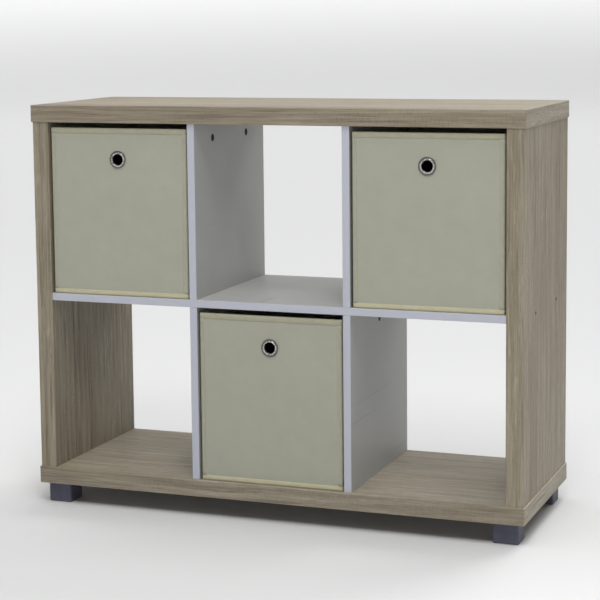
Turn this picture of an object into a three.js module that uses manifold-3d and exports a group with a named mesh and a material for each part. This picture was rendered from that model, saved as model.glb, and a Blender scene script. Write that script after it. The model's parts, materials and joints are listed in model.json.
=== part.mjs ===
// A cube storage unit: an oak-effect carcass on four block feet, with a white shelf and four white dividers
// that make six open cubbies, and three fabric storage boxes that slide out of the front.
// Millimetres, +Z up, +X to the right, front towards -Y. The origin is on the floor, under the middle.
import * as THREE from "three";
import { mergeVertices } from "three/addons/utils/BufferGeometryUtils.js";
import Module from "manifold-3d";

const wasm = await Module();
wasm.setup();

// Carcass.
const WIDTH = 1010;
const DEPTH = 366;
const HEIGHT = 810;
const BOARD = 34; // thickness of the top, bottom and side boards
const OVERHANG = 3; // of the top and bottom past the sides, at the ends and at the front
const BOARD_RADIUS = 1.5; // edge rounding of the thick boards
const THIN = 15; // thickness of the shelf and the dividers
const THIN_RADIUS = 0.8; // edge rounding of the thin boards
const SETBACK = 5; // of the thin boards' front edges behind the front of the top and bottom
const FOOT = 50; // side of a square foot
const FOOT_HEIGHT = 40;
const FOOT_RADIUS = 2;
const FOOT_INSET_X = 14; // from the ends of the bottom board
const FOOT_INSET_Y = 12; // from its front and rear

// Fasteners. Each sits in a recess with a gap around it.
const GAP = 0.3;
const ROW_Y = 87; // the rows of fasteners lie this far in front of and behind the middle
const CAM_RADIUS = 7.5;
const CAM_DEPTH = 11;
const CAM_DROP = 32; // centre of a cam lock below the board that it pulls in
const CAM_SLOT = 8; // length of each arm of the cross slot in a cam lock
const CAM_SLOT_WIDTH = 1.6;
const CAM_SLOT_DEPTH = 2.2;
const SCREW_HEAD_RADIUS = 4;
const SCREW_HEAD_LENGTH = 6;
const SCREW_HEAD_RIM = 3; // height of the head's straight rim, above its cone
const SCREW_SHANK_RADIUS = 2.6;
const SCREW_TIP_RADIUS = 1;
const SCREW_TIP_LENGTH = 5;
const SCREW_LENGTH = 68;
const SCREW_SINK = 0.6; // the head lies this far below the board's face
const SOCKET_RADIUS = 2.3; // across the corners of the hexagon socket
const SOCKET_DEPTH = 3;
const FOOT_SCREW_LENGTH = 46;
const FOOT_SCREW_SINK = 10;

// Storage boxes.
const BOX_WIDTH = 295;
const BOX_DEPTH = 340;
const BOX_HEIGHT = 333;
const BOX_SETBACK = 8; // of a box's front behind the front of the carcass
const CORNER_RADIUS = 4; // of a box's upright edges
const CLOTH = 1.2; // outer cover
const LINING = 0.8;
const BINDING = 0.8; // folded strip over the rim
const BINDING_HEIGHT = 20;
const STIFFENER = 2.5; // boards between the cover and the lining
const STIFFENER_CLEARANCE = 1; // between their edges and the cover's rounded corners
const INNER_RADIUS = 0.6; // of the upright edges inside a box
const BASE_BOARD = 3;
const EYELET_DROP = 62; // centre of the finger hole below the rim
const EYELET_HOLE_RADIUS = 11.25;
const EYELET_BARREL = 0.9; // wall of the eyelet's barrel
const EYELET_FLANGE_RADIUS = 17.25;
const EYELET_RISE = 2; // of the flange off the cover
const EYELET_BACK_RISE = 1.3; // of the flange inside the box off the lining
const EYELET_ROLL = 1.2; // width of the rolled edge round the hole
const EYELET_ROUND = 0.7; // how far the edges of a flange fall away

// Meshing.
const ROUND_SEGMENTS = 20;
const CORNER_SEGMENTS = 2;
const OVERCUT = 1; // how far a cutting tool runs past the face that it opens
const MERGE_DISTANCE = 1e-4;

// Levels and lines that follow from the dimensions above.
const SIDE_OUTER = WIDTH / 2 - OVERHANG;
const SIDE_INNER = SIDE_OUTER - BOARD;
const FRONT = -DEPTH / 2;
const REAR = DEPTH / 2;
const SIDE_FRONT = FRONT + OVERHANG;
const BASE_TOP = FOOT_HEIGHT + BOARD;
const TOP_UNDERSIDE = HEIGHT - BOARD;
const CUBBY_WIDTH = (2 * SIDE_INNER - 2 * THIN) / 3;
const CUBBY_HEIGHT = (TOP_UNDERSIDE - BASE_TOP - THIN) / 2;
const SHELF_LOW = BASE_TOP + CUBBY_HEIGHT;
const SHELF_HIGH = SHELF_LOW + THIN;
const DIVIDER_X = (CUBBY_WIDTH + THIN) / 2;

const FINISHES = {
  oak: { color: 0xa99f89, roughness: 0.6 },
  white: { color: 0xe9e9e7, roughness: 0.45 },
  foot: { color: 0x45455a, roughness: 0.55 },
  zinc: { color: 0x8e8e8c, roughness: 0.45, metalness: 1 },
  steel: { color: 0x4f4f52, roughness: 0.4, metalness: 1 },
  cloth: { color: 0xcdc9b6, roughness: 0.95 },
  binding: { color: 0xd6d0b0, roughness: 0.9 },
  board: { color: 0x9b9488, roughness: 0.9 },
  chrome: { color: 0xdcdde0, roughness: 0.15, metalness: 1 },
};

function mesh(name, geometry, finish) {
  const made = new THREE.Mesh(geometry, new THREE.MeshStandardMaterial(FINISHES[finish]));
  made.name = name;
  return made;
}

// A closed geometry as a solid that can be cut and joined.
function solid(geometry) {
  const bare = geometry.clone();
  bare.deleteAttribute("normal");
  bare.deleteAttribute("uv");
  const merged = mergeVertices(bare, MERGE_DISTANCE);
  const vertProperties = new Float32Array(merged.attributes.position.array);
  const triVerts = new Uint32Array(merged.index.array);
  return new wasm.Manifold(new wasm.Mesh({ numProp: 3, vertProperties, triVerts }));
}

function geometryOf(body) {
  const shape = body.getMesh();
  const geometry = new THREE.BufferGeometry();
  geometry.setAttribute("position", new THREE.BufferAttribute(shape.vertProperties, 3));
  geometry.setIndex(new THREE.BufferAttribute(shape.triVerts, 1));
  geometry.computeVertexNormals();
  return geometry;
}

// The first geometry with all the others cut out of it.
function cut(geometry, ...tools) {
  return geometryOf(tools.reduce((body, tool) => body.subtract(solid(tool)), solid(geometry)));
}

// A rectangle with rounded corners, centred on the origin.
function roundedRectangle(width, height, radius) {
  const shape = new THREE.Shape();
  const x = width / 2 - radius;
  const y = height / 2 - radius;
  shape.absarc(x, y, radius, 0, Math.PI / 2);
  shape.absarc(-x, y, radius, Math.PI / 2, Math.PI);
  shape.absarc(-x, -y, radius, Math.PI, 1.5 * Math.PI);
  shape.absarc(x, -y, radius, 1.5 * Math.PI, 2 * Math.PI);
  return shape;
}

// An upright prism with rounded upright edges, from z = 0 to its height.
function prism(width, depth, height, radius) {
  const options = { depth: height, bevelEnabled: false, curveSegments: CORNER_SEGMENTS };
  return new THREE.ExtrudeGeometry(roundedRectangle(width, depth, radius), options);
}

// A board lying flat with all its edges rounded, from z = 0 to its thickness.
function slab(width, depth, thickness, radius) {
  const outline = roundedRectangle(width - 2 * radius, depth - 2 * radius, radius);
  const options = {
    depth: thickness - 2 * radius,
    bevelThickness: radius,
    bevelSize: radius,
    bevelSegments: CORNER_SEGMENTS,
    curveSegments: CORNER_SEGMENTS,
  };
  return new THREE.ExtrudeGeometry(outline, options).translate(0, 0, radius);
}

// A round bar along X from x = 0 to its length.
function barX(radius, length) {
  const bar = new THREE.CylinderGeometry(radius, radius, length, ROUND_SEGMENTS);
  return bar.rotateZ(-Math.PI / 2).translate(length / 2, 0, 0);
}

function block(width, depth, height) {
  return new THREE.BoxGeometry(width, depth, height).translate(0, 0, height / 2);
}

// A screw along X with its head at x = 0: a turned profile with a hexagon socket.
function screw(length) {
  const profile = [
    [0, 0],
    [SCREW_HEAD_RADIUS, 0],
    [SCREW_HEAD_RADIUS, -SCREW_HEAD_RIM],
    [SCREW_SHANK_RADIUS, -SCREW_HEAD_LENGTH],
    [SCREW_SHANK_RADIUS, -length + SCREW_TIP_LENGTH],
    [SCREW_TIP_RADIUS, -length],
    [0, -length],
  ];
  const points = profile.map(([r, along]) => new THREE.Vector2(r, along)).reverse();
  const turned = new THREE.LatheGeometry(points, ROUND_SEGMENTS);
  const socket = new THREE.CylinderGeometry(SOCKET_RADIUS, SOCKET_RADIUS, 2 * SOCKET_DEPTH, 6);
  return cut(turned, socket).rotateZ(Math.PI / 2);
}

// The recess for that screw, whose head lies `sink` below the face of what it is in.
function screwRecess(length, sink) {
  const headLength = sink + SCREW_HEAD_LENGTH + GAP;
  const head = barX(SCREW_HEAD_RADIUS + GAP, headLength + OVERCUT).translate(-sink - OVERCUT, 0, 0);
  const shank = barX(SCREW_SHANK_RADIUS + GAP, length + GAP);
  return geometryOf(solid(head).add(solid(shank)));
}

// A cam lock with its slotted face at x = 0 and its body towards -X.
function camLock() {
  const arm = new THREE.BoxGeometry(2 * CAM_SLOT_DEPTH, CAM_SLOT, CAM_SLOT_WIDTH);
  const across = new THREE.BoxGeometry(2 * CAM_SLOT_DEPTH, CAM_SLOT_WIDTH, CAM_SLOT);
  return cut(barX(CAM_RADIUS, CAM_DEPTH).translate(-CAM_DEPTH, 0, 0), arm, across);
}

function camRecess() {
  return barX(CAM_RADIUS + GAP, CAM_DEPTH + GAP + OVERCUT).translate(-CAM_DEPTH - GAP, 0, 0);
}

// Where each cam lock sits: its slotted face points along `facing` (+1 or -1) on X.
const CAM_UPPER_Z = TOP_UNDERSIDE - CAM_DROP;
const CAM_LOWER_Z = SHELF_LOW - CAM_DROP;
const CAMS = {
  left_side_front_cam: { host: "left_side_panel", at: [-SIDE_INNER, -ROW_Y, CAM_UPPER_Z], facing: 1 },
  left_side_rear_cam: { host: "left_side_panel", at: [-SIDE_INNER, ROW_Y, CAM_UPPER_Z], facing: 1 },
  right_side_front_cam: { host: "right_side_panel", at: [SIDE_INNER, -ROW_Y, CAM_UPPER_Z], facing: -1 },
  right_side_rear_cam: { host: "right_side_panel", at: [SIDE_INNER, ROW_Y, CAM_UPPER_Z], facing: -1 },
};
for (const side of ["left", "right"]) {
  const face = (side === "left" ? -DIVIDER_X : DIVIDER_X) + THIN / 2;
  const upper = `upper_${side}_divider`;
  const lower = `lower_${side}_divider`;
  CAMS[`${upper}_front_cam`] = { host: upper, at: [face, -ROW_Y, CAM_UPPER_Z], facing: 1 };
  CAMS[`${upper}_rear_cam`] = { host: upper, at: [face, ROW_Y, CAM_UPPER_Z], facing: 1 };
  CAMS[`${lower}_cam`] = { host: lower, at: [face, 0, CAM_LOWER_Z], facing: 1 };
}

function placed(geometry, [x, y, z], facing = 1) {
  const copy = geometry.clone();
  if (facing < 0) {
    copy.rotateZ(Math.PI);
  }
  return copy.translate(x, y, z);
}

// The recesses that a board needs for the cam locks it holds.
function camRecesses(host) {
  return Object.values(CAMS)
    .filter((cam) => cam.host === host)
    .map((cam) => placed(camRecess(), cam.at, cam.facing));
}

function makeCarcass() {
  const carcass = new THREE.Group();
  const shelfScrewZ = SHELF_LOW + THIN / 2;
  const screwX = SIDE_OUTER - SCREW_SINK;
  const recess = screwRecess(SCREW_LENGTH, SCREW_SINK);
  const shelfScrews = {};
  for (const [row, y] of [["front", -ROW_Y], ["rear", ROW_Y]]) {
    shelfScrews[`left_shelf_${row}_screw`] = { at: [-screwX, y, shelfScrewZ], facing: 1 };
    shelfScrews[`right_shelf_${row}_screw`] = { at: [screwX, y, shelfScrewZ], facing: -1 };
  }
  const shelfRecesses = Object.values(shelfScrews).map(({ at, facing }) => placed(recess, at, facing));

  // Feet, with a screw up through each into the bottom board.
  const footX = WIDTH / 2 - FOOT_INSET_X - FOOT / 2;
  const footY = DEPTH / 2 - FOOT_INSET_Y - FOOT / 2;
  const footScrew = screw(FOOT_SCREW_LENGTH).rotateY(-Math.PI / 2);
  const footRecess = screwRecess(FOOT_SCREW_LENGTH, FOOT_SCREW_SINK).rotateY(-Math.PI / 2);
  const footRecesses = [];
  for (const [row, y] of [["front", -footY], ["rear", footY]]) {
    for (const [side, x] of [["left", -footX], ["right", footX]]) {
      const name = `${row}_${side}_foot`;
      const hole = placed(footRecess, [x, y, FOOT_SCREW_SINK]);
      const foot = slab(FOOT, FOOT, FOOT_HEIGHT, FOOT_RADIUS).translate(x, y, 0);
      carcass.add(mesh(name, cut(foot, hole), "foot"));
      carcass.add(mesh(`${name}_screw`, placed(footScrew, [x, y, FOOT_SCREW_SINK]), "steel"));
      footRecesses.push(hole);
    }
  }

  // Top and bottom boards.
  const slabShape = slab(WIDTH, DEPTH, BOARD, BOARD_RADIUS);
  carcass.add(mesh("top_panel", placed(slabShape, [0, 0, TOP_UNDERSIDE]), "oak"));
  const bottom = placed(slabShape, [0, 0, FOOT_HEIGHT]);
  carcass.add(mesh("bottom_panel", cut(bottom, ...footRecesses), "oak"));

  // Side boards, between the top and the bottom.
  const sideDepth = REAR - SIDE_FRONT;
  const sideY = (REAR + SIDE_FRONT) / 2;
  const sideHeight = TOP_UNDERSIDE - BASE_TOP;
  for (const [side, sign] of [["left", -1], ["right", 1]]) {
    const name = `${side}_side_panel`;
    const at = [sign * (SIDE_INNER + BOARD / 2), sideY, BASE_TOP];
    const board = placed(prism(BOARD, sideDepth, sideHeight, BOARD_RADIUS), at);
    carcass.add(mesh(name, cut(board, ...camRecesses(name), ...shelfRecesses), "oak"));
  }

  // Shelf from side to side, and dividers above and below it.
  const thinFront = FRONT + SETBACK;
  const thinDepth = REAR - thinFront;
  const thinY = (REAR + thinFront) / 2;
  const shelf = prism(THIN, thinDepth, 2 * SIDE_INNER, THIN_RADIUS).rotateY(Math.PI / 2);
  const shelfBoard = shelf.translate(-SIDE_INNER, thinY, SHELF_LOW + THIN / 2);
  carcass.add(mesh("middle_shelf", cut(shelfBoard, ...shelfRecesses), "white"));
  for (const [level, low] of [["upper", SHELF_HIGH], ["lower", BASE_TOP]]) {
    for (const [side, sign] of [["left", -1], ["right", 1]]) {
      const name = `${level}_${side}_divider`;
      const at = [sign * DIVIDER_X, thinY, low];
      const divider = placed(prism(THIN, thinDepth, CUBBY_HEIGHT, THIN_RADIUS), at);
      carcass.add(mesh(name, cut(divider, ...camRecesses(name)), "white"));
    }
  }

  // Screws through the sides into the shelf, and the cam locks.
  const shelfScrew = screw(SCREW_LENGTH);
  for (const [name, { at, facing }] of Object.entries(shelfScrews)) {
    carcass.add(mesh(name, placed(shelfScrew, at, facing), "steel"));
  }
  for (const [name, { at, facing }] of Object.entries(CAMS)) {
    carcass.add(mesh(name, placed(camLock(), at, facing), "zinc"));
  }
  return carcass;
}

// The outer and the inner form of an open-topped shell, `inset` inside a storage box's outer faces.
function openShell(inset, low, high, wall, floor) {
  const width = BOX_WIDTH - 2 * inset;
  const depth = BOX_DEPTH - 2 * inset;
  const radius = Math.max(CORNER_RADIUS - inset, INNER_RADIUS);
  const outer = prism(width, depth, high - low, radius).translate(0, 0, low);
  const innerRadius = Math.max(radius - wall, INNER_RADIUS);
  const inner = prism(width - 2 * wall, depth - 2 * wall, high - low, innerRadius);
  return [outer, inner.translate(0, 0, low + floor)];
}

// A storage box, standing on z = 0 with its front at -BOX_DEPTH / 2.
function makeBox(name) {
  const box = new THREE.Group();
  const coverInset = BINDING + GAP;
  const boardInset = coverInset + CLOTH + GAP;
  const liningInset = boardInset + STIFFENER + GAP;
  const innerInset = liningInset + LINING + GAP;
  const innerFace = innerInset + BINDING;
  const eyeletZ = BOX_HEIGHT - EYELET_DROP;
  const front = -BOX_DEPTH / 2;
  const underRim = BOX_HEIGHT - BINDING - GAP;

  // The hole that the eyelet's barrel fills, through the cover, the front board and the lining.
  const holeRadius = EYELET_HOLE_RADIUS + EYELET_BARREL + GAP;
  const hole = new THREE.CylinderGeometry(holeRadius, holeRadius, 4 * innerInset, ROUND_SEGMENTS);
  hole.translate(0, front, eyeletZ);

  const [coverOuter, coverInner] = openShell(coverInset, 0, underRim, CLOTH, CLOTH);
  box.add(mesh(`${name}_cover`, cut(coverOuter, coverInner, hole), "cloth"));

  const liningLow = CLOTH + GAP;
  const [liningOuter, liningInner] = openShell(liningInset, liningLow, underRim, LINING, LINING);
  box.add(mesh(`${name}_lining`, cut(liningOuter, liningInner, hole), "cloth"));

  // Stiffening boards in the walls, and the loose board on the floor.
  const boardHeight = underRim - GAP - liningLow;
  const frontY = BOX_DEPTH / 2 - boardInset - STIFFENER / 2;
  const sideX = BOX_WIDTH / 2 - boardInset - STIFFENER / 2;
  const acrossWidth = BOX_WIDTH - 2 * boardInset - 2 * STIFFENER_CLEARANCE;
  const sideBoardDepth = BOX_DEPTH - 2 * boardInset - 2 * STIFFENER - 2 * GAP;
  const frontBoard = block(acrossWidth, STIFFENER, boardHeight).translate(0, -frontY, liningLow);
  box.add(mesh(`${name}_front_board`, cut(frontBoard, hole), "board"));
  const backBoard = block(acrossWidth, STIFFENER, boardHeight).translate(0, frontY, liningLow);
  box.add(mesh(`${name}_back_board`, backBoard, "board"));
  for (const [side, x] of [["left", -sideX], ["right", sideX]]) {
    const board = block(STIFFENER, sideBoardDepth, boardHeight).translate(x, 0, liningLow);
    box.add(mesh(`${name}_${side}_board`, board, "board"));
  }
  const floorInset = innerInset + GAP;
  const floorBoard = prism(BOX_WIDTH - 2 * floorInset, BOX_DEPTH - 2 * floorInset, BASE_BOARD, INNER_RADIUS);
  floorBoard.translate(0, 0, liningLow + LINING + GAP);
  box.add(mesh(`${name}_base_board`, floorBoard, "cloth"));

  // Binding folded over the rim: a ring with a deep groove from below.
  const ringLow = BOX_HEIGHT - BINDING_HEIGHT;
  const ring = prism(BOX_WIDTH, BOX_DEPTH, BINDING_HEIGHT, CORNER_RADIUS).translate(0, 0, ringLow);
  const around = (inset, radius, low, high) =>
    prism(BOX_WIDTH - 2 * inset, BOX_DEPTH - 2 * inset, high - low, radius).translate(0, 0, low);
  const grooveTop = BOX_HEIGHT - BINDING;
  const grooveOuter = around(BINDING, CORNER_RADIUS - BINDING, ringLow - OVERCUT, grooveTop);
  const grooveInner = around(innerInset, INNER_RADIUS, ringLow - 2 * OVERCUT, grooveTop + OVERCUT);
  const mouth = around(innerFace, INNER_RADIUS, ringLow - OVERCUT, BOX_HEIGHT + OVERCUT);
  box.add(mesh(`${name}_rim_binding`, cut(ring, cut(grooveOuter, grooveInner), mouth), "binding"));

  // Eyelet: a barrel through the front wall between two rounded flanges, turned about the hole's axis.
  const bore = EYELET_HOLE_RADIUS;
  const barrel = bore + EYELET_BARREL;
  const lip = EYELET_FLANGE_RADIUS;
  const coverFace = coverInset - GAP;
  const liningFace = liningInset + LINING + GAP;
  const crown = coverFace - EYELET_RISE;
  const back = liningFace + EYELET_BACK_RISE;
  const profile = [
    [bore, crown + EYELET_ROUND],
    [bore + EYELET_ROLL, crown],
    [lip - 2 * EYELET_ROLL, crown],
    [lip - EYELET_ROUND, crown + EYELET_ROUND],
    [lip, coverFace],
    [barrel, coverFace],
    [barrel, liningFace],
    [lip, liningFace],
    [lip - EYELET_ROUND, back - EYELET_ROUND],
    [bore + EYELET_ROLL, back],
    [bore, back - EYELET_ROUND],
    [bore, crown + EYELET_ROUND],
  ];
  const points = profile.map(([r, inward]) => new THREE.Vector2(r, inward));
  const eyelet = new THREE.LatheGeometry(points, ROUND_SEGMENTS).translate(0, front, eyeletZ);
  box.add(mesh(`${name}_eyelet`, eyelet, "chrome"));
  return box;
}

const unit = new THREE.Group();
unit.add(makeCarcass());

// The cubbies that hold a storage box: the middle of each on X, and the level that the box stands on.
const pitch = CUBBY_WIDTH + THIN;
const places = {
  upper_left_box: [-pitch, SHELF_HIGH],
  upper_right_box: [pitch, SHELF_HIGH],
  lower_middle_box: [0, BASE_TOP],
};
for (const [name, [x, level]] of Object.entries(places)) {
  const box = makeBox(name);
  box.position.set(x, FRONT + BOX_SETBACK + BOX_DEPTH / 2, level + GAP);
  unit.add(box);
}

export default unit;
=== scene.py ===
"""The looks of a cube storage unit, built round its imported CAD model. Metres, +Z up, front towards -Y."""
import json
import math
import random

import bmesh
import bpy
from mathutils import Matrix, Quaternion, Vector, noise


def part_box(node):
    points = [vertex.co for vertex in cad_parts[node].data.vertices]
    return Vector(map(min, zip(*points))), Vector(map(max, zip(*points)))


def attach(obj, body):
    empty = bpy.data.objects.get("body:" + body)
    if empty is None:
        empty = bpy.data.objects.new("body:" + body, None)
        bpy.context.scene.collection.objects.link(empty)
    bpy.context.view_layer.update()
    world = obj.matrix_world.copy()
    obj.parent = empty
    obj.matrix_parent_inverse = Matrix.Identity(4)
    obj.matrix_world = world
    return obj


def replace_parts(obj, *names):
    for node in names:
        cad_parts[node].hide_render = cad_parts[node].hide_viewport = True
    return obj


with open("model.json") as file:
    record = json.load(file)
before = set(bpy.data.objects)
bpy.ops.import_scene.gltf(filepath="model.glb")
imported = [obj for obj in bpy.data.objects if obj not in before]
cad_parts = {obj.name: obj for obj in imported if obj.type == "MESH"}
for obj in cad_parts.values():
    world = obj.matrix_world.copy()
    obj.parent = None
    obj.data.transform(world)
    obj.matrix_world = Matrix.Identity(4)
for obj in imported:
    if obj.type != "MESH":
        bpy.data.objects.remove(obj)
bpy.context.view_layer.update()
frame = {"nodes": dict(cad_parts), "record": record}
nodes = frame["nodes"]

MM = 0.001
BOXES = ("upper_left_box", "upper_right_box", "lower_middle_box")
SEED = 7

# Camera, measured from the middle of the floor under the unit.
CAMERA_PLACE = (1.261, -3.343, 0.985)
CAMERA_YAW = math.radians(20.68)
CAMERA_PITCH = math.radians(-6.71)
CAMERA_ROLL = math.radians(-0.58)
CAMERA_LENS = 107.6
CAMERA_SHIFT_Y = -0.125
SENSOR_WIDTH = 36

# Studio. A sun is (name, strength, spread, azimuth from the front towards the right, elevation), in degrees.
SUNS = (
    ("overhead", 2.50, 60, 0, 88),
    ("back_light", 1.70, 34, 165, 40),
)
KEY_PLACE = (0.70, -2.0, 3.3)
KEY_AIM = (0.0, -0.1, 0.4)
KEY_SIZE = 1.3
KEY_POWER = 47.0
WORLD_GLOW = 0.10
WORLD_COLOUR = (0.94, 0.97, 1.0, 1)
FLOOR_COLOUR = (0.58, 0.58, 0.58, 1)
FLOOR_REACH = 14.0  # radius of the flat part of the floor
FLOOR_RADII = (0.5, 4.0, FLOOR_REACH)  # of the rings in its mesh
FLOOR_SEGMENTS = 96
SWEEP_REACH = 8.0  # how much further out the floor's rim curves up
SWEEP_HEIGHT = 6.0
SWEEP_STEPS = 12
SWEEP_LIT_FROM = 2.0  # height from which the rim glows in full
SWEEP_GLOW = 0.55  # of the curved rim, so that it is as pale as the floor

# Colours in light and in shade, or bright and tarnished.
COVER_COLOURS = ((0.387, 0.387, 0.317), (0.320, 0.322, 0.261))
LINING_COLOURS = ((0.369, 0.369, 0.302), (0.302, 0.304, 0.247))
RIM_TAPE_COLOURS = ((0.410, 0.396, 0.293), (0.347, 0.335, 0.245))
CORNER_TAPE_COLOURS = ((0.398, 0.393, 0.308), (0.334, 0.331, 0.257))
BASE_TAPE_COLOURS = ((0.520, 0.490, 0.335), (0.440, 0.414, 0.275))
# The chrome's dark colour is tarnish in patches, and also a painted dark reflection on the eyelet's flange
# beyond its groove.
CHROME_COLOURS = ((0.52, 0.50, 0.49), (0.135, 0.125, 0.12))
# The cams' near-black colour is painted shade: the zinc is darkened to the shade in the cams' holes.
SHADED_ZINC_COLOURS = ((0.040, 0.038, 0.036), (0.016, 0.015, 0.014))
STEEL_COLOURS = ((0.11, 0.11, 0.115), (0.045, 0.045, 0.05))

# Boards with oak foil, and whether each stands upright.
OAK_BOARDS = {"top_panel": False, "bottom_panel": False, "left_side_panel": True, "right_side_panel": True}

# Storage boxes.
SHELL_INSET = 1.1 * MM  # of the cover's faces inside the box's outer size
COVER_CLOTH = 0.7 * MM
LINING_CLOTH = 0.6 * MM
COVER_LIFT = 0.15 * MM  # of the cover's floor over the box's underside
COVER_DROP = 1.2 * MM  # of the cover's upper edge below the rim
LINING_DROP = 1.6 * MM
CLOTH_TURN = 1.5 * MM  # rounding between a wall and the floor
FLOOR_INSETS = (CLOTH_TURN, 2 * MM + CLOTH_TURN, 24 * MM)  # of the rings in the cloth's floor
FINGER_HOLE = 12.9 * MM  # radius of the hole in the cloth
CORNER = 4 * MM
CORNER_STEPS = 3
TAPE = 0.75 * MM
TAPED_WALL = 7.3 * MM  # thickness of a wall with the tape on both faces
TAPE_EDGE = 0.3 * MM
TAPE_INNER_LEG = 10 * MM  # height of the rim tape inside the box
TAPE_OVERLAP = 1.0 * MM  # of a corner tape and the tapes above and below it
SEAM_MARGIN = 1.9 * MM  # from a tape's edge to its stitches
RIM_TAPE = 11 * MM  # height of the tape over the rim
HEM_RIDGE = 16.5 * MM  # of the sewn ridge below the rim
BASE_TAPE = 9.5 * MM
CORNER_TAPE = 9 * MM  # width of a corner tape on each face
CORNER_TAPE_STEPS = 4
CORNER_TAPE_ROWS = 46
STITCH_PITCH = 4.4 * MM
STITCH_LENGTH = 3.1 * MM
STITCH_RADIUS = 0.26 * MM
# A stitch's cross sections: place along it over its length, lift and girth over its radius.
STITCH_SECTIONS = ((-0.5, -0.55, 0.55), (-0.28, 0.55, 1.0), (0.28, 0.55, 1.0), (0.5, -0.55, 0.55))
STITCH_SIDES = 4
CELL = 5.2 * MM  # spacing of the cloth's mesh
BORE_SHARE = 0.652  # of the eyelet's hole, over the radius of its flange
EYELET_BEAD = 3.0 * MM  # width of the bead round its hole
EYELET_DARK_REFLECTION_FROM = 14.0 * MM  # radius from which the eyelet's flange is painted darker, a painted dark reflection
EYELET_SEGMENTS = 72
BEAD_STEPS = 12
WASHER_STEPS = 8
WASHER = 1.6 * MM  # height of the crimped washer behind
HOLE_CELLS = 2  # the finger hole's edge lies on this ring of cells round its middle
ROUND_CELLS = 5  # and the rings are square again from this one on

# How the stretched cloth of a box's walls stands out of its plane.
BOW = 0.8 * MM
SLOW_WAVE = 0.42 * MM
CREASE = 0.16 * MM
FINE_WAVE = 0.06 * MM
PUCKER = 0.13 * MM
PUCKER_PITCH = 13 * MM
PUCKER_TOP = 16 * MM  # how fast the puckers die away below the rim
PUCKER_FOOT = 12 * MM  # and above the floor
HEM_HEIGHT = 0.45 * MM
HEM_WIDTH = 1.7 * MM
DEEPEST_DENT = 0.5 * MM
RIM_FADE = 30 * MM  # the bow starts at the rim and is full this far below it
FOOT_FADE = 26 * MM
EDGE_FADE = 30 * MM
EYELET_CLEAR = 20 * MM  # the cloth lies flat within this radius of the eyelet's middle
EYELET_FADE = 26 * MM
FRONT_FACING = -0.9  # a point whose outward Y is below this is on the front wall


# ---------------------------------------------------------------- materials


class Graph:
    """A material's node tree, built by calls that return output sockets."""

    def __init__(self, name, **constants):
        self.material = bpy.data.materials.new(name)
        self.material.use_nodes = True
        self.tree = self.material.node_tree
        self.shader = self.tree.nodes["Principled BSDF"]
        for socket, value in constants.items():
            self.shader.inputs[socket.replace("_", " ")].default_value = value

    def feed(self, socket, value):
        if isinstance(value, bpy.types.NodeSocket):
            self.tree.links.new(value, socket)
        else:
            socket.default_value = value

    def node(self, kind, inputs, **settings):
        made = self.tree.nodes.new("ShaderNode" + kind)
        for key, value in settings.items():
            setattr(made, key, value)
        for key, value in inputs.items():
            self.feed(made.inputs[key], value)
        return made

    def place(self):
        """Place in the shared frame at rest: every object sits at the origin."""
        return self.node("TexCoord", {}).outputs["Object"]

    def named(self, attribute):
        return self.node("Attribute", {}, attribute_name=attribute).outputs["Vector"]

    def split(self, vector):
        return self.node("SeparateXYZ", {0: vector}).outputs

    def join(self, x, y, z):
        return self.node("CombineXYZ", {0: x, 1: y, 2: z}).outputs[0]

    def scaled(self, vector, scale, offset=(0, 0, 0)):
        inputs = {0: vector, 1: scale, 2: offset}
        return self.node("VectorMath", inputs, operation="MULTIPLY_ADD").outputs[0]

    def math(self, operation, a, b=0.0):
        return self.node("Math", {0: a, 1: b}, operation=operation).outputs[0]

    def add(self, *values):
        total = values[0]
        for value in values[1:]:
            total = self.math("ADD", total, value)
        return total

    def times(self, *values):
        total = values[0]
        for value in values[1:]:
            total = self.math("MULTIPLY", total, value)
        return total

    def blend(self, factor, a, b):
        """Number a where the factor is 0, and b where it is 1."""
        return self.add(a, self.times(factor, self.math("SUBTRACT", b, a)))

    def noise(self, vector, scale=1.0, detail=3.0, roughness=0.5):
        inputs = {"Vector": vector, "Scale": scale, "Detail": detail, "Roughness": roughness}
        return self.node("TexNoise", inputs).outputs[0]

    def step(self, value, low, high):
        """0 at low and 1 at high, smooth between, whichever is the larger."""
        inputs = {"Value": value, "From Min": low, "From Max": high}
        return self.node("MapRange", inputs, interpolation_type="SMOOTHSTEP").outputs[0]

    def ramp(self, value, stops):
        made = self.node("ValToRGB", {0: value})
        elements = made.color_ramp.elements
        for element, (place, colour) in zip(elements, (stops[0], stops[-1])):
            element.position = place
            element.color = (*colour, 1)
        for place, colour in stops[1:-1]:
            elements.new(place).color = (*colour, 1)
        return made.outputs[0]

    def mix(self, factor, a, b):
        """Colour a where the factor is 0, and b where it is 1."""
        made = self.node("Mix", {}, data_type="RGBA")
        self.feed(made.inputs[0], factor)
        self.feed(made.inputs[6], a if isinstance(a, bpy.types.NodeSocket) else (*a, 1))
        self.feed(made.inputs[7], b if isinstance(b, bpy.types.NodeSocket) else (*b, 1))
        return made.outputs[2]

    def bump(self, height, distance, strength):
        inputs = {"Height": height, "Distance": distance, "Strength": strength}
        return self.node("Bump", inputs).outputs[0]

    def edges(self, low, high, width):
        """1 along the edges of a box-shaped board, 0 further in than width."""
        axes = self.split(self.place())
        near = []
        for axis in range(3):
            from_low = self.math("SUBTRACT", axes[axis], low[axis])
            from_high = self.math("SUBTRACT", high[axis], axes[axis])
            near.append(self.math("MINIMUM", from_low, from_high))
        least = self.math("MINIMUM", near[0], near[1])
        most = self.math("MAXIMUM", near[0], near[1])
        middle = self.math("MAXIMUM", least, self.math("MINIMUM", most, near[2]))
        return self.step(middle, width, 0.0)

    def finish(self, colour=None, roughness=None, normal=None):
        for socket, value in (("Base Color", colour), ("Roughness", roughness), ("Normal", normal)):
            if value is not None:
                self.feed(self.shader.inputs[socket], value)
        return self.material


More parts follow.
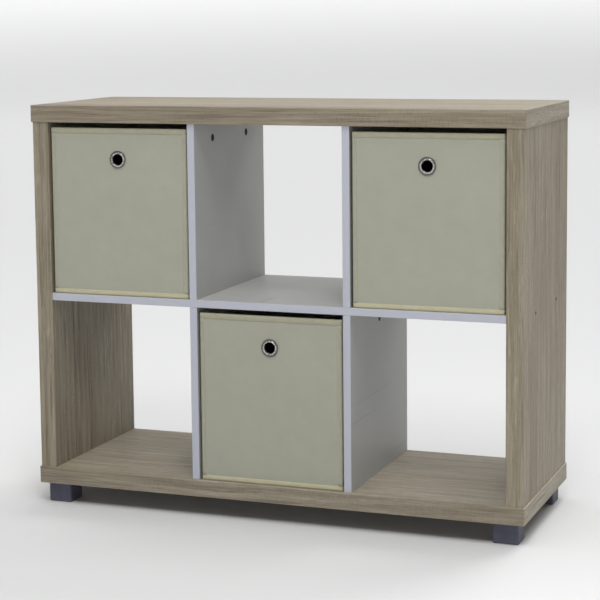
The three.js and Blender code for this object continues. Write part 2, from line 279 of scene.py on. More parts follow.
OAK_STOPS = (
    (0.30, (0.089, 0.068, 0.044)),
    (0.40, (0.166, 0.133, 0.092)),
    (0.48, (0.228, 0.189, 0.132)),
    (0.55, (0.270, 0.229, 0.167)),
    (0.66, (0.357, 0.311, 0.236)),
)


def oak(node, upright, seed):
    """Greige oak-effect foil. The grain runs along X, or along Z on an upright board."""
    g = Graph(node + "_oak", Specular_IOR_Level=0.26 if upright else 0.55)
    x, y, z = g.split(g.place())
    if upright:
        along, across, deep = z, x, y
    else:
        facing = g.split(g.node("TexCoord", {}).outputs["Normal"])[0]
        at_end = g.step(g.math("ABSOLUTE", facing), 0.6, 0.8)
        along = g.blend(at_end, x, y)
        across = g.blend(at_end, y, x)
        deep = z
    grain = g.join(along, across, deep)
    offset = (seed * 3.71, seed * 1.93, seed * 2.57)
    warp = g.noise(g.scaled(grain, (1.7, 6.0, 6.0), offset), detail=2.0)
    drift = g.noise(g.scaled(grain, (4.5, 16.0, 16.0), offset), detail=1.0)
    sideways = g.add(g.times(warp, 4.6), g.times(drift, 1.2))
    bent = g.join(
        g.times(along, 2.4),
        g.add(g.times(across, 98.0), sideways),
        g.add(g.times(deep, 98.0), sideways),
    )
    figure = g.noise(g.scaled(bent, (1, 1, 1), offset), detail=3.0, roughness=0.62)
    fine = g.noise(g.scaled(grain, (9.0, 420.0, 420.0), offset), detail=2.0)
    broad = g.noise(g.scaled(grain, (1.1, 9.0, 9.0), offset), detail=1.5)
    pores = g.step(g.noise(g.scaled(grain, (34.0, 900.0, 900.0), offset), detail=1.0), 0.58, 0.68)
    fleck_field = g.noise(g.scaled(grain, (26.0, 240.0, 240.0), offset), detail=1.0)
    flecks = g.times(g.step(fleck_field, 0.58, 0.72), g.step(broad, 0.46, 0.58))
    saw_field = g.noise(g.scaled(grain, (260.0, 70.0, 70.0), offset), detail=1.5)
    saw = g.times(g.step(saw_field, 0.46, 0.66), g.step(drift, 0.46, 0.60))
    tone = g.add(
        g.times(figure, 0.42),
        g.times(fine, 0.34),
        g.times(broad, 0.20),
        g.times(flecks, 0.09),
        g.times(saw, -0.032),
        0.030,
    )
    colour = g.ramp(tone, OAK_STOPS)
    cracks_field = g.noise(g.scaled(bent, (1.6, 0.85, 0.85), offset), detail=1.0)
    cracks = g.times(g.step(cracks_field, 0.66, 0.71), g.step(warp, 0.40, 0.52))
    colour = g.mix(g.times(cracks, 0.42), colour, (0.085, 0.064, 0.042))
    colour = g.mix(g.times(pores, 0.42), colour, (0.12, 0.094, 0.064))
    colour = g.mix(g.times(g.step(broad, 0.38, 0.62), 0.14), colour, (0.205, 0.212, 0.155))
    low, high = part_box(node)
    wear = g.times(g.edges(low, high, 1.8 * MM), g.step(drift, 0.40, 0.62))
    colour = g.mix(g.times(wear, 0.24), colour, (0.44, 0.40, 0.31))
    rough = g.add(0.45, g.times(fine, 0.12), g.times(pores, 0.10), g.times(wear, -0.08))
    relief = g.add(g.times(fine, 0.5), g.times(pores, -0.8), g.times(saw, -0.45), g.times(cracks, -0.9))
    return g.finish(colour, rough, g.bump(relief, 0.28 * MM, 0.7))


def melamine(node):
    """White melamine with a bluish edge strip on the front and faint handling marks."""
    g = Graph(node + "_white", Specular_IOR_Level=0.45)
    place = g.place()
    low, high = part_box(node)
    mottle = g.noise(place, scale=9.0, detail=3.0)
    speckle = g.noise(place, scale=850.0, detail=1.0)
    scuffs = g.step(g.noise(g.scaled(place, (14.0, 3.0, 90.0)), detail=2.0), 0.66, 0.76)
    colour = g.ramp(g.add(g.times(mottle, 0.8), g.times(speckle, 0.2)), (
        (0.30, (0.315, 0.317, 0.307)),
        (0.70, (0.355, 0.357, 0.344)),
    ))
    colour = g.mix(g.times(scuffs, 0.16), colour, (0.30, 0.295, 0.28))
    depth = g.math("SUBTRACT", g.split(place)[1], low.y)
    strip = g.step(depth, 1.25 * MM, 1.05 * MM)
    colour = g.mix(strip, colour, (0.440, 0.453, 0.512))
    glue = g.times(g.step(depth, 1.0 * MM, 1.12 * MM), g.step(depth, 1.45 * MM, 1.3 * MM))
    colour = g.mix(g.times(glue, 0.6), colour, (0.28, 0.27, 0.24))
    wear = g.edges(low, high, 1.2 * MM)
    colour = g.mix(g.times(wear, 0.18), colour, (0.36, 0.35, 0.33))
    rough = g.add(0.34, g.times(speckle, 0.14), g.times(scuffs, 0.12))
    return g.finish(colour, rough, g.bump(speckle, 0.06 * MM, 0.5))


def foot_paint(node):
    """Dark blue-grey moulded block with a fine grain and rubbed edges."""
    g = Graph(node + "_paint", Specular_IOR_Level=0.5)
    place = g.place()
    low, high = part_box(node)
    grain = g.noise(place, scale=1500.0, detail=2.0)
    patches = g.noise(place, scale=60.0, detail=3.0)
    colour = g.ramp(patches, (
        (0.30, (0.047, 0.049, 0.078)),
        (0.70, (0.064, 0.066, 0.100)),
    ))
    wear = g.times(g.edges(low, high, 2.2 * MM), g.step(patches, 0.35, 0.62))
    colour = g.mix(g.times(wear, 0.45), colour, (0.135, 0.135, 0.165))
    # Paler and greyer in the lowest few millimetres, next to the floor.
    paler_near_floor = g.step(g.split(place)[2], 9 * MM, 1 * MM)
    colour = g.mix(g.times(paler_near_floor, patches, 0.25), colour, (0.20, 0.195, 0.185))
    rough = g.add(0.42, g.times(grain, 0.16), g.times(patches, 0.08))
    return g.finish(colour, rough, g.bump(grain, 0.10 * MM, 0.6))


def metal(name, colour, dark, roughness, scratch, groove=None):
    """Plated metal with turned scratches and tarnish in patches. A turned ring is painted darker beyond its
    groove: a painted dark reflection.
    """
    g = Graph(name, Metallic=1.0)
    place = g.place()
    turned = g.noise(g.scaled(place, (900.0, 3200.0, 3200.0)), detail=2.0)
    tarnish = g.noise(place, scale=320.0, detail=3.0)
    tarnish_and_dark_reflection = g.step(tarnish, 0.42, 0.72)
    # Beyond a turned ring's groove the dark colour is a painted dark reflection, not tarnish.
    if groove:
        radius = g.split(g.named("flat"))[0]
        tarnish_and_dark_reflection = g.math("MAXIMUM", tarnish_and_dark_reflection, g.step(radius, groove, groove + 0.7 * MM))
    rough = g.add(roughness, g.times(turned, scratch), g.times(tarnish, scratch))
    return g.finish(g.mix(tarnish_and_dark_reflection, colour, dark), rough, g.bump(turned, 0.02 * MM, 0.5))


def non_woven(name, light, shade, flat=None):
    """Spun-bonded cloth: loose fibres under a staggered grid of pressed dots."""
    g = Graph(name, Specular_IOR_Level=0.2, Sheen_Weight=0.18, Sheen_Roughness=0.55)
    place = g.named(flat) if flat else g.place()
    u, v, _ = g.split(place)
    pitch = 2 * math.pi / (1.5 * MM)
    wave_a = g.math("SINE", g.times(g.add(u, v), pitch * 0.7))
    wave_b = g.math("SINE", g.times(g.math("SUBTRACT", u, v), pitch * 0.7))
    dots = g.step(g.times(wave_a, wave_b), 0.30, 0.85)
    fibre_a = g.noise(g.scaled(place, (2600.0, 420.0, 2600.0)), detail=2.0)
    fibre_b = g.noise(g.scaled(place, (420.0, 2600.0, 2600.0), (5, 3, 1)), detail=2.0)
    fibre = g.math("MAXIMUM", fibre_a, fibre_b)
    cloud = g.noise(place, scale=34.0, detail=4.0, roughness=0.6)
    stain = g.noise(g.scaled(place, (7.0, 7.0, 7.0), (2, 9, 4)), detail=2.0)
    tone = g.add(g.times(cloud, 0.40), g.times(fibre, 0.35), g.times(stain, 0.30), g.times(dots, -0.12))
    colour = g.ramp(tone, ((0.24, shade), (0.84, light)))
    relief = g.add(g.times(fibre, 0.55), g.times(dots, -0.55), g.times(cloud, 0.35))
    rough = g.add(0.86, g.times(dots, -0.10), g.times(fibre, 0.08))
    return g.finish(colour, rough, g.bump(relief, 0.22 * MM, 0.75))


def tape_cloth(name, light, shade):
    """Folded binding tape: a close rib across the tape over soft blotches."""
    g = Graph(name, Specular_IOR_Level=0.22, Sheen_Weight=0.22, Sheen_Roughness=0.5)
    place = g.named("flat")
    u, v, _ = g.split(place)
    rib = g.math("SINE", g.times(u, 2 * math.pi / (0.9 * MM)))
    rib = g.add(g.times(rib, 0.5), 0.5)
    weave = g.math("SINE", g.times(v, 2 * math.pi / (0.7 * MM)))
    blotch = g.noise(place, scale=70.0, detail=4.0)
    fibre = g.noise(place, scale=2400.0, detail=1.5)
    tone = g.add(g.times(blotch, 0.6), g.times(rib, 0.10), g.times(weave, 0.05), g.times(fibre, 0.25))
    colour = g.ramp(tone, ((0.32, shade), (0.72, light)))
    relief = g.add(g.times(rib, 0.5), g.times(weave, 0.25), g.times(fibre, 0.4))
    return g.finish(colour, g.add(0.80, g.times(fibre, 0.12)), g.bump(relief, 0.16 * MM, 0.7))


def thread_cotton(name):
    g = Graph(name, Specular_IOR_Level=0.3, Sheen_Weight=0.25)
    place = g.place()
    twist = g.noise(g.scaled(place, (5200.0, 5200.0, 2600.0)), detail=1.0)
    colour = g.ramp(twist, ((0.30, (0.34, 0.32, 0.24)), (0.70, (0.50, 0.48, 0.38))))
    return g.finish(colour, g.add(0.68, g.times(twist, 0.15)), g.bump(twist, 0.08 * MM, 0.7))


def cardboard(name):
    g = Graph(name, Specular_IOR_Level=0.2)
    place = g.place()
    pulp = g.noise(place, scale=420.0, detail=4.0, roughness=0.6)
    flecks = g.step(g.noise(place, scale=1300.0, detail=1.0), 0.64, 0.74)
    colour = g.ramp(pulp, ((0.32, (0.20, 0.18, 0.15)), (0.70, (0.28, 0.255, 0.215))))
    colour = g.mix(g.times(flecks, 0.6), colour, (0.16, 0.14, 0.12))
    return g.finish(colour, g.add(0.82, g.times(pulp, 0.12)), g.bump(pulp, 0.1 * MM, 0.6))


# ---------------------------------------------------------------- mesh building


def mesh_object(name, vertices, faces, material, flat=None):
    """A new object, with its vertices' flat coordinates kept for the cloth patterns."""
    data = bpy.data.meshes.new(name)
    data.from_pydata(vertices, [], faces)
    data.update()
    if flat:
        layer = data.attributes.new("flat", "FLOAT_VECTOR", "POINT")
        for item, value in zip(layer.data, flat):
            item.vector = value
    data.shade_smooth()
    data.materials.append(material)
    made = bpy.data.objects.new(name, data)
    bpy.context.scene.collection.objects.link(made)
    return made


def ring_faces(rings, per_ring, closed):
    """Faces between neighbouring rings of points, and from the last ring to the first if closed."""
    faces = []
    for ring in range(rings if closed else rings - 1):
        following = (ring + 1) % rings
        for step in range(per_ring):
            beside = (step + 1) % per_ring
            faces.append((
                ring * per_ring + step,
                ring * per_ring + beside,
                following * per_ring + beside,
                following * per_ring + step,
            ))
    return faces


def rounded_loop(half_x, half_y, radius, counts):
    """Points, outward directions and arc lengths round a rounded rectangle, from the front's left end."""
    straight = ((0, -1), (1, 0), (0, 1), (-1, 0))
    points, outs, lengths = [], [], []
    length = 0.0
    for side, (nx, ny) in enumerate(straight):
        along = (-ny, nx)
        half = (half_x if side % 2 == 0 else half_y) - radius
        face = half_y if side % 2 == 0 else half_x
        for step in range(counts[side % 2] + 1):
            t = -half + 2 * half * step / counts[side % 2]
            points.append((nx * face + along[0] * t, ny * face + along[1] * t))
            outs.append((nx, ny))
            lengths.append(length + t + half)
        length += 2 * half
        centre = (nx * (face - radius) + along[0] * half, ny * (face - radius) + along[1] * half)
        start = math.atan2(ny, nx)
        for step in range(1, CORNER_STEPS):
            turn = start + math.pi / 2 * step / CORNER_STEPS
            out = (math.cos(turn), math.sin(turn))
            points.append((centre[0] + radius * out[0], centre[1] + radius * out[1]))
            outs.append(out)
            lengths.append(length + radius * math.pi / 2 * step / CORNER_STEPS)
        length += radius * math.pi / 2
    return points, outs, lengths


class BoxPlan:
    """The sizes and places that a storage box's pieces share, read from its CAD nodes."""

    def __init__(self, name, index):
        self.name = name
        self.index = index
        low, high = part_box(name + "_rim_binding")
        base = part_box(name + "_cover")[0].z
        self.middle = Vector(((low.x + high.x) / 2, (low.y + high.y) / 2, base))
        self.half_x = (high.x - low.x) / 2
        self.half_y = (high.y - low.y) / 2
        self.height = high.z - base
        eyelet_low, eyelet_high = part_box(name + "_eyelet")
        self.eyelet_z = (eyelet_low.z + eyelet_high.z) / 2 - base
        self.eyelet_front = eyelet_low.y
        self.eyelet_rear = eyelet_high.y
        self.eyelet_radius = (eyelet_high.z - eyelet_low.z) / 2
        self.counts = tuple(2 * round((half - CORNER) / CELL) for half in (self.half_x, self.half_y))

    def loop(self, inset):
        radius = max(CORNER - inset, 0.9 * MM)
        return rounded_loop(self.half_x - inset, self.half_y - inset, radius, self.counts)

    def world(self, x, y, z):
        return self.middle + Vector((x, y, z))


def ripple(plan, u, v):
    """Slow waves, creases and fine unevenness of stretched cloth, different on each box."""
    where = Vector((u, v, 1.0 + plan.index * 5.3))
    slow = noise.noise(Vector((where.x * 9.0, where.y * 7.0, where.z)))
    crease = noise.noise(Vector((where.x * 38.0, where.y * 16.0, where.z + 4.0)))
    fine = noise.noise(where * 95.0)
    return SLOW_WAVE * slow + CREASE * crease + FINE_WAVE * fine


def faded(distance, reach):
    """0 at no distance, and 1 from that reach on."""
    return min(1.0, max(0.0, distance / reach))


def wall_shift(plan, x, y, z, out, u, low, high):
    """How far a point of a wall's cloth stands out: bowed between the edges, puckered at the seams."""
    on_front_or_back = abs(out[1]) > abs(out[0])
    side_half = plan.half_x if on_front_or_back else plan.half_y
    along = abs(x) if on_front_or_back else abs(y)
    rim = faded(high - z, RIM_FADE)
    foot = faded(z - low, FOOT_FADE)
    edge = faded(side_half - along, EDGE_FADE)
    eye = math.hypot(x, z - plan.eyelet_z) if out[1] < FRONT_FACING else 1.0
    calm = faded(eye - EYELET_CLEAR, EYELET_FADE)
    bow = BOW * edge * rim * foot
    pucker = PUCKER * math.sin(u * 2 * math.pi / PUCKER_PITCH)
    pucker *= math.exp(-(high - z) / PUCKER_TOP) + math.exp(-(z - low) / PUCKER_FOOT)
    ridge_z = plan.height - HEM_RIDGE
    ridge = HEM_HEIGHT * math.exp(-(((z - ridge_z) / HEM_WIDTH) ** 2))
    shift = calm * (bow + ripple(plan, u, z) * (0.35 + 0.65 * rim) + pucker) + ridge
    return max(shift, -DEEPEST_DENT)


def wall_levels(plan, low, high):
    """Heights of the cloth's rows, with one row exactly at the finger hole's middle."""
    below = max(round((plan.eyelet_z - low) / CELL), 1)
    above = max(round((high - plan.eyelet_z) / CELL), 1)
    rows = [high + (plan.eyelet_z - high) * step / above for step in range(above)]
    rows += [plan.eyelet_z + (low - plan.eyelet_z) * step / below for step in range(below + 1)]
    return rows, above


def cloth_tub(plan, name, inset, low, high, thickness, material, lively):
    """An open-topped cloth shell with a finger hole in its front wall. Lively cloth isn't quite flat."""
    rows, middle_row = wall_levels(plan, low + CLOTH_TURN, high)
    rings = [(inset, z, True) for z in rows]
    rings += [(inset + step, low, False) for step in FLOOR_INSETS]
    vertices, flat = [], []
    middle_column = plan.counts[0] // 2
    per_ring = len(plan.loop(inset)[0])
    for row, (ring_inset, z, upright) in enumerate(rings):
        points, outs, lengths = plan.loop(ring_inset)
        for column, ((x, y), out, u) in enumerate(zip(points, outs, lengths)):
            shift = wall_shift(plan, x, y, z, out, u, low, high) if upright and lively else 0.0
            x += out[0] * shift
            y += out[1] * shift
            if upright and out[1] < FRONT_FACING and abs(x) < ROUND_CELLS * 1.2 * CELL:
                ring = ring_number(row, column, middle_row, middle_column)
                x, z_here = round_hole(plan, ring, x, z)
            else:
                z_here = z
            vertices.append(plan.world(x, y, z_here))
            flat.append((u, z_here if upright else low - (ring_inset - inset), 0.0))
    faces = []
    for row in range(len(rings) - 1):
        for column in range(per_ring):
            beside = (column + 1) % per_ring
            if cell_in_hole(row, column, middle_row, middle_column):
                continue
            top, bottom = row * per_ring, (row + 1) * per_ring
            faces.append((bottom + column, bottom + beside, top + beside, top + column))
    last = (len(rings) - 1) * per_ring
    faces.append(tuple(last + column for column in reversed(range(per_ring))))
    made = mesh_object(name, vertices, faces, material, flat)
    thick = made.modifiers.new("thick", "SOLIDIFY")
    thick.thickness = thickness
    thick.offset = -1
    return made


def ring_number(row, column, middle_row, middle_column):
    return max(abs(row - middle_row), abs(column - middle_column))


def cell_in_hole(row, column, middle_row, middle_column):
    corners = ((row + i, column + j) for i in (0, 1) for j in (0, 1))
    return all(ring_number(r, c, middle_row, middle_column) <= HOLE_CELLS for r, c in corners)


def round_hole(plan, ring, x, z):
    """Moves a point near the finger hole so that the rings of cells go from round to square."""
    if ring > ROUND_CELLS or ring < HOLE_CELLS:
        return x, z
    away = Vector((x, z - plan.eyelet_z))
    t = (ring - HOLE_CELLS) / (ROUND_CELLS - HOLE_CELLS)
    circle = away.normalized() * (FINGER_HOLE + (ring - HOLE_CELLS) * CELL)
    point = circle.lerp(away, t * t * (3 - 2 * t))
    return point.x, plan.eyelet_z + point.y


def swept_band(plan, name, profile, material, wobble=0.0):
    """A closed cloth profile of (inset, height) points carried round the whole box."""
    vertices, flat = [], []
    run = 0.0
    for index, (inset, z) in enumerate(profile):
        points, outs, lengths = plan.loop(inset)
        if index:
            run += math.dist(profile[index - 1], (inset, z))
        for (x, y), out, u in zip(points, outs, lengths):
            wave = wobble * noise.noise(Vector((u * 60.0, z * 200.0, plan.index * 3.1)))
            vertices.append(plan.world(x + out[0] * wave, y + out[1] * wave, z + wave * 0.6))
            flat.append((u, run, 0.0))
    faces = ring_faces(len(profile), len(plan.loop(0)[0]), True)
    made = mesh_object(name, vertices, faces, material, flat)
    outward(made)
    return made


def outward(made):
    """Turns every face of a closed mesh outwards."""
    work = bmesh.new()
    work.from_mesh(made.data)
    bmesh.ops.recalc_face_normals(work, faces=work.faces)
    work.to_mesh(made.data)
    work.free()


def corner_tape(plan, name, sign_x, sign_y, low, high, material):
    """Binding tape folded over one upright corner of a box, as one closed strip."""
    radius = CORNER - SHELL_INSET
    corner_x, corner_y = plan.half_x - SHELL_INSET - radius, plan.half_y - SHELL_INSET - radius
    section = []
    leg, steps = CORNER_TAPE - radius, CORNER_TAPE_STEPS
    for step in range(steps):
        section.append((corner_x - leg * (1 - step / steps), corner_y, 0.0, 1.0))
    for step in range(steps + 1):
        turn = math.pi / 2 * (1 - step / steps)
        section.append((corner_x, corner_y, math.cos(turn), math.sin(turn)))
    for step in range(1, steps + 1):
        section.append((corner_x, corner_y - leg * step / steps, 1.0, 0.0))
    levels = [low + (high - low) * step / CORNER_TAPE_ROWS for step in range(CORNER_TAPE_ROWS + 1)]
    vertices, flat = [], []
    count = len(section)
    for level in levels:
        for side, height in (("outer", TAPE), ("inner", 0.02 * MM)):
            order = section if side == "outer" else section[::-1]
            for step, (x, y, out_x, out_y) in enumerate(order):
                end = step in (0, count - 1)
                seed = Vector((level * 90.0, plan.index * 2.0 + sign_x, sign_y * 3.0 + step))
                wave = 0.10 * MM * noise.noise(seed)
                lift = radius + (height if not end or side == "inner" else height * 0.55) + wave
                place_x, place_y = (x + out_x * lift) * sign_x, (y + out_y * lift) * sign_y
                vertices.append(plan.world(place_x, place_y, level))
                flat.append((level, step * 2.2 * MM, 0.0))
    around = 2 * count
    faces = ring_faces(len(levels), around, False)
    faces.append(tuple(range(around)))
    faces.append(tuple((len(levels) - 1) * around + step for step in reversed(range(around))))
    made = mesh_object(name, vertices, faces, material, flat)
    outward(made)
    return made


def stitches(name, seams, material):
    """One mesh of lock stitches. A seam is a list of (place, direction, outward)."""
    vertices, faces = [], []
    last = (len(STITCH_SECTIONS) - 1) * STITCH_SIDES
    for place, direction, out in seams:
        side = direction.cross(out)
        base = len(vertices)
        for along, lift, girth in STITCH_SECTIONS:
            centre = place + direction * (along * STITCH_LENGTH) + out * (lift * STITCH_RADIUS)
            for turn in range(STITCH_SIDES):
                angle = math.pi / 2 * turn + math.pi / 4
                reach = STITCH_RADIUS * girth
                vertices.append(centre + side * (math.cos(angle) * reach) + out * (math.sin(angle) * reach))
        for ring in range(len(STITCH_SECTIONS) - 1):
            for turn in range(STITCH_SIDES):
                beside = (turn + 1) % STITCH_SIDES
                low, high = base + ring * STITCH_SIDES, base + (ring + 1) * STITCH_SIDES
                faces.append((low + turn, low + beside, high + beside, high + turn))
        faces.append(tuple(base + turn for turn in reversed(range(STITCH_SIDES))))
        faces.append(tuple(base + last + turn for turn in range(STITCH_SIDES)))
    made = mesh_object(name, vertices, faces, material)
    outward(made)
    return made


def seam_round(plan, inset, z, rng):
    """Stitches along a level seam round the box, on the face at that inset."""
    points, outs, lengths = plan.loop(inset)
    points, outs, lengths = points + points[:1], outs + outs[:1], lengths + [lengths[-1] + 2 * MM]
    found = []
    at = STITCH_PITCH
    for index in range(len(points) - 1):
        while lengths[index] <= at < lengths[index + 1]:
            t = (at - lengths[index]) / (lengths[index + 1] - lengths[index])
            start, end = Vector(points[index]), Vector(points[index + 1])
            place = start.lerp(end, t)
            direction = (end - start).normalized()
            out = Vector((*outs[index], 0))
            tilt = rng.uniform(-0.05, 0.05)
            heading = Vector((direction.x, direction.y, tilt)).normalized()
            found.append((plan.world(place.x, place.y, z + rng.uniform(-0.1, 0.1) * MM), heading, out))
            at += STITCH_PITCH
    return found


def seam_upright(plan, x, y, out, low, high, rng):
    """Stitches up a corner tape's edge."""
    count = int((high - low) / STITCH_PITCH)
    found = []
    for step in range(count):
        z = low + (step + 0.5) * (high - low) / count
        heading = Vector((out.y * rng.uniform(-0.05, 0.05), 0, 1)).normalized()
        found.append((plan.world(x, y, z), heading, out))
    return found


def turned_ring(plan, name, material):
    """The eyelet: a bead and a flange in front, the barrel and the crimped washer behind, turned about Y."""
    front, rear = plan.eyelet_front, plan.eyelet_rear
    lip, bore = plan.eyelet_radius, plan.eyelet_radius * BORE_SHARE
    cover = plan.middle.y - plan.half_y + SHELL_INSET - 1.2 * MM
    rise = cover - front
    bead = EYELET_BEAD / 2
    groove = bore + EYELET_BEAD
    profile = [
        (lip, cover), (lip, cover - 0.45 * rise), (lip - 0.3 * MM, cover - 0.68 * rise),
        (lip - 0.9 * MM, cover - 0.76 * rise), (groove + 0.6 * MM, cover - 0.58 * rise),
    ]
    for step in range(BEAD_STEPS + 1):
        turn = math.pi * step / BEAD_STEPS
        depth = 0.5 * rise * (1 + math.sin(turn))
        profile.append((bore + bead + bead * math.cos(turn), cover - depth))
    profile.append((bore + 0.15 * MM, cover + 2.5 * MM))
    centre, reach = (lip + bore) / 2, (lip - bore) / 2
    washer = rear - WASHER
    for step in range(WASHER_STEPS + 1):
        turn = math.pi * step / WASHER_STEPS
        profile.append((centre - reach * math.cos(turn), washer + WASHER * math.sin(turn)))
    profile.append((bore + 1.3 * MM, washer - 0.2 * MM))
    profile.append((bore + 1.3 * MM, cover + 0.8 * MM))
    vertices, flat = [], []
    for radius, y in profile:
        for turn in range(EYELET_SEGMENTS):
            angle = 2 * math.pi * turn / EYELET_SEGMENTS
            x, z = radius * math.cos(angle), radius * math.sin(angle)
            vertices.append(Vector((plan.middle.x + x, y, plan.middle.z + plan.eyelet_z + z)))
            flat.append((radius, 0.0, 0.0))
    faces = ring_faces(len(profile), EYELET_SEGMENTS, True)
    made = mesh_object(name, vertices, faces, material, flat)
    outward(made)
    made.data.set_sharp_from_angle(angle=math.radians(50))
    return made


# ---------------------------------------------------------------- the object


def dress_carcass():
    """Materials for the boards, feet and fasteners that CAD carries."""
    # The cams are painted near black: painted shade of their holes.
    shaded_zinc = metal("cam_zinc_painted_shade", *SHADED_ZINC_COLOURS, 0.42, 0.20)
    steel = metal("screw_steel", *STEEL_COLOURS, 0.36, 0.22)
    for name in frame["record"]["behaviour"]["bodies"]["carcass"]:
        node = nodes[name]
        if name in OAK_BOARDS:
            material = oak(name, OAK_BOARDS[name], sorted(OAK_BOARDS).index(name) + 1)
        elif name.endswith("_foot"):
            material = foot_paint(name)
        elif name.endswith("_cam"):
            material = shaded_zinc
        elif name.endswith("_screw"):
            material = steel
        else:
            material = melamine(name)
        paint(node, material)


def paint(node, material):
    node.data.materials.clear()
    node.data.materials.append(material)
    node.data.shade_smooth()
    node.data.set_sharp_from_angle(angle=math.radians(38))


def make_box(name, index, cloths):
    """One fabric storage box: cover, lining, tapes, stitches and eyelet."""
    plan = BoxPlan(name, index)
    rng = random.Random(SEED + index)
    rim = plan.height
    made = []

    cover = cloth_tub(
        plan, name + "_cloth_cover", SHELL_INSET, COVER_LIFT, rim - COVER_DROP,
        COVER_CLOTH, cloths["cover"], True,
    )
    made.append(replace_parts(cover, name + "_cover"))
    lining_low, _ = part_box(name + "_lining")
    lining_inset = lining_low.x - (plan.middle.x - plan.half_x)
    lining = cloth_tub(
        plan, name + "_cloth_lining", lining_inset, lining_low.z - plan.middle.z, rim - LINING_DROP,
        LINING_CLOTH, cloths["lining"], False,
    )
    made.append(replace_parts(lining, name + "_lining"))

    # The rim tape goes up the outside, over the walls and down the inside.
    wall = TAPED_WALL
    tape_profile = [
        (TAPE_EDGE, rim - RIM_TAPE), (0.0, rim - RIM_TAPE + TAPE_EDGE), (0.0, rim - RIM_TAPE * 0.5),
        (0.0, rim - 1.8 * MM), (0.5 * MM, rim - 0.6 * MM), (1.6 * MM, rim),
        (wall - 1.6 * MM, rim), (wall - 0.5 * MM, rim - 0.6 * MM), (wall, rim - 1.8 * MM),
        (wall, rim - TAPE_INNER_LEG), (wall - TAPE, rim - TAPE_INNER_LEG),
        (wall - TAPE, rim - 1.9 * MM), (wall - 1.7 * MM, rim - TAPE),
        (1.7 * MM, rim - TAPE), (TAPE, rim - 1.9 * MM), (TAPE, rim - RIM_TAPE),
    ]
    tape = swept_band(plan, name + "_rim_tape", tape_profile, cloths["tape"], 0.16 * MM)
    made.append(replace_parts(tape, name + "_rim_binding"))

    # The base tape covers the bottom edge and turns under the box.
    base_profile = [
        (SHELL_INSET - 0.1 * MM, BASE_TAPE), (SHELL_INSET - TAPE, BASE_TAPE - TAPE_EDGE),
        (SHELL_INSET - TAPE, 1.3 * MM), (SHELL_INSET - 0.2 * MM, 0.3 * MM), (SHELL_INSET + 1.0 * MM, 0.0),
        (SHELL_INSET + 8 * MM, 0.0), (SHELL_INSET + 8 * MM, 0.14 * MM), (SHELL_INSET + 1.4 * MM, 0.14 * MM),
        (SHELL_INSET - 0.02 * MM, 1.0 * MM),
    ]
    base = swept_band(plan, name + "_base_tape", base_profile, cloths["bright_tape"], 0.10 * MM)
    made.append(base)

    seams = seam_round(plan, -0.05 * MM, rim - RIM_TAPE + SEAM_MARGIN, rng)
    seams += seam_round(plan, SHELL_INSET - TAPE, BASE_TAPE - SEAM_MARGIN, rng)
    for end, sign_x in (("left", -1), ("right", 1)):
        for row, sign_y in (("front", -1), ("rear", 1)):
            label = f"{name}_{row}_{end}_corner_tape"
            low, high = BASE_TAPE - TAPE_OVERLAP, rim - RIM_TAPE + TAPE_OVERLAP
            strip = corner_tape(plan, label, sign_x, sign_y, low, high, cloths["corner_tape"])
            made.append(strip)
            reach = CORNER_TAPE - SEAM_MARGIN
            face_x, face_y = plan.half_x - SHELL_INSET, plan.half_y - SHELL_INSET
            span = (BASE_TAPE + TAPE_OVERLAP, rim - RIM_TAPE - TAPE_OVERLAP)
            across = (sign_x * (face_x - reach), sign_y * (face_y + TAPE))
            beside = (sign_x * (face_x + TAPE), sign_y * (face_y - reach))
            seams += seam_upright(plan, *across, Vector((0, sign_y, 0)), *span, rng)
            seams += seam_upright(plan, *beside, Vector((sign_x, 0, 0)), *span, rng)
    made.append(stitches(name + "_stitches", seams, cloths["thread"]))

    eyelet = turned_ring(plan, name + "_finger_ring", cloths["chrome"])
    made.append(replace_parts(eyelet, name + "_eyelet"))

    paint(nodes[name + "_base_board"], cloths["base"])
    for side in ("front", "back", "left", "right"):
        paint(nodes[f"{name}_{side}_board"], cloths["board"])
    for piece in made:
        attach(piece, name)


def make_boxes():
    """The three storage boxes, which share their materials."""
    cloths = {
        "cover": non_woven("cover_cloth", *COVER_COLOURS, "flat"),
        "lining": non_woven("lining_cloth", *LINING_COLOURS, "flat"),
        "base": non_woven("base_cloth", *LINING_COLOURS),
        "tape": tape_cloth("rim_tape_cloth", *RIM_TAPE_COLOURS),
        "corner_tape": tape_cloth("corner_tape_cloth", *CORNER_TAPE_COLOURS),
        "bright_tape": tape_cloth("base_tape_cloth", *BASE_TAPE_COLOURS),
        "thread": thread_cotton("thread"),
        "board": cardboard("stiffener_board"),
        # The eyelet's flange beyond its groove is painted dark: a painted dark reflection.
        "chrome": metal("eyelet_chrome", *CHROME_COLOURS, 0.15, 0.12, EYELET_DARK_REFLECTION_FROM),
    }
    for index, name in enumerate(BOXES):
        make_box(name, index, cloths)


# ---------------------------------------------------------------- studio


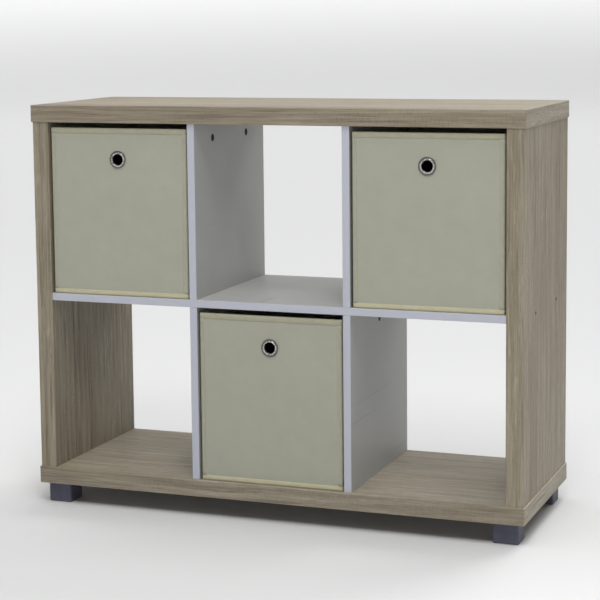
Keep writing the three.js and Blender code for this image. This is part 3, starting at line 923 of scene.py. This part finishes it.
def make_floor():
    """A round pale floor whose rim sweeps up, faintly lit, to stand behind the object in every view."""
    g = Graph("studio_floor", Roughness=0.9, Specular_IOR_Level=0.1)
    g.shader.inputs["Base Color"].default_value = FLOOR_COLOUR
    height = g.split(g.place())[2]
    g.shader.inputs["Emission Color"].default_value = (1, 1, 1, 1)
    g.feed(g.shader.inputs["Emission Strength"], g.times(g.step(height, 0.0, SWEEP_LIT_FROM), SWEEP_GLOW))
    profile = [(reach, 0.0) for reach in FLOOR_RADII]
    for step in range(1, SWEEP_STEPS + 1):
        turn = math.pi / 2 * step / SWEEP_STEPS
        out = FLOOR_REACH + SWEEP_REACH * math.sin(turn)
        profile.append((out, SWEEP_HEIGHT * (1 - math.cos(turn))))
    segments = FLOOR_SEGMENTS
    vertices, faces = [], []
    for reach, level in profile:
        for index in range(segments):
            angle = 2 * math.pi * index / segments
            vertices.append((reach * math.cos(angle), reach * math.sin(angle), level))
    faces.append(tuple(range(segments)))
    for ring in range(len(profile) - 1):
        for index in range(segments):
            beside = (index + 1) % segments
            inner, outer = ring * segments, (ring + 1) * segments
            faces.append((inner + index, outer + index, outer + beside, inner + beside))
    mesh_object("studio_floor", vertices, faces, g.finish())


def aim(lamp, source):
    """Turns a light so that it shines from that direction."""
    lamp.rotation_mode = "QUATERNION"
    lamp.rotation_quaternion = source.to_track_quat("Z", "Y")
    bpy.context.scene.collection.objects.link(lamp)


def make_lights():
    """A soft key light over the front right corner, soft suns, and a dim even world."""
    world = bpy.data.worlds.new("studio")
    world.use_nodes = True
    glow = world.node_tree.nodes["Background"]
    glow.inputs["Color"].default_value = WORLD_COLOUR
    glow.inputs["Strength"].default_value = WORLD_GLOW
    bpy.context.scene.world = world

    data = bpy.data.lights.new("key", "AREA")
    data.shape = "DISK"
    data.size = KEY_SIZE
    data.energy = KEY_POWER
    key = bpy.data.objects.new("key", data)
    key.location = KEY_PLACE
    aim(key, Vector(KEY_PLACE) - Vector(KEY_AIM))

    for name, energy, spread, azimuth, elevation in SUNS:
        data = bpy.data.lights.new(name, "SUN")
        data.energy = energy
        data.angle = math.radians(spread)
        around, up = math.radians(azimuth), math.radians(elevation)
        source = Vector((
            math.sin(around) * math.cos(up),
            -math.cos(around) * math.cos(up),
            math.sin(up),
        ))
        aim(bpy.data.objects.new(name, data), source)


def make_camera():
    """The camera, turned, pitched and rolled as the constants say."""
    data = bpy.data.cameras.new("camera")
    data.lens = CAMERA_LENS
    data.sensor_width = SENSOR_WIDTH
    data.shift_y = CAMERA_SHIFT_Y
    camera = bpy.data.objects.new("camera", data)
    camera.location = CAMERA_PLACE
    camera.rotation_mode = "QUATERNION"
    forward = Vector((
        -math.sin(CAMERA_YAW) * math.cos(CAMERA_PITCH),
        math.cos(CAMERA_YAW) * math.cos(CAMERA_PITCH),
        math.sin(CAMERA_PITCH),
    ))
    level = forward.to_track_quat("-Z", "Y")
    camera.rotation_quaternion = level @ Quaternion((0, 0, 1), CAMERA_ROLL)
    bpy.context.scene.collection.objects.link(camera)
    bpy.context.scene.camera = camera


make_camera()
dress_carcass()
make_boxes()
make_floor()
make_lights()
bpy.context.scene.view_settings.view_transform = "Standard"
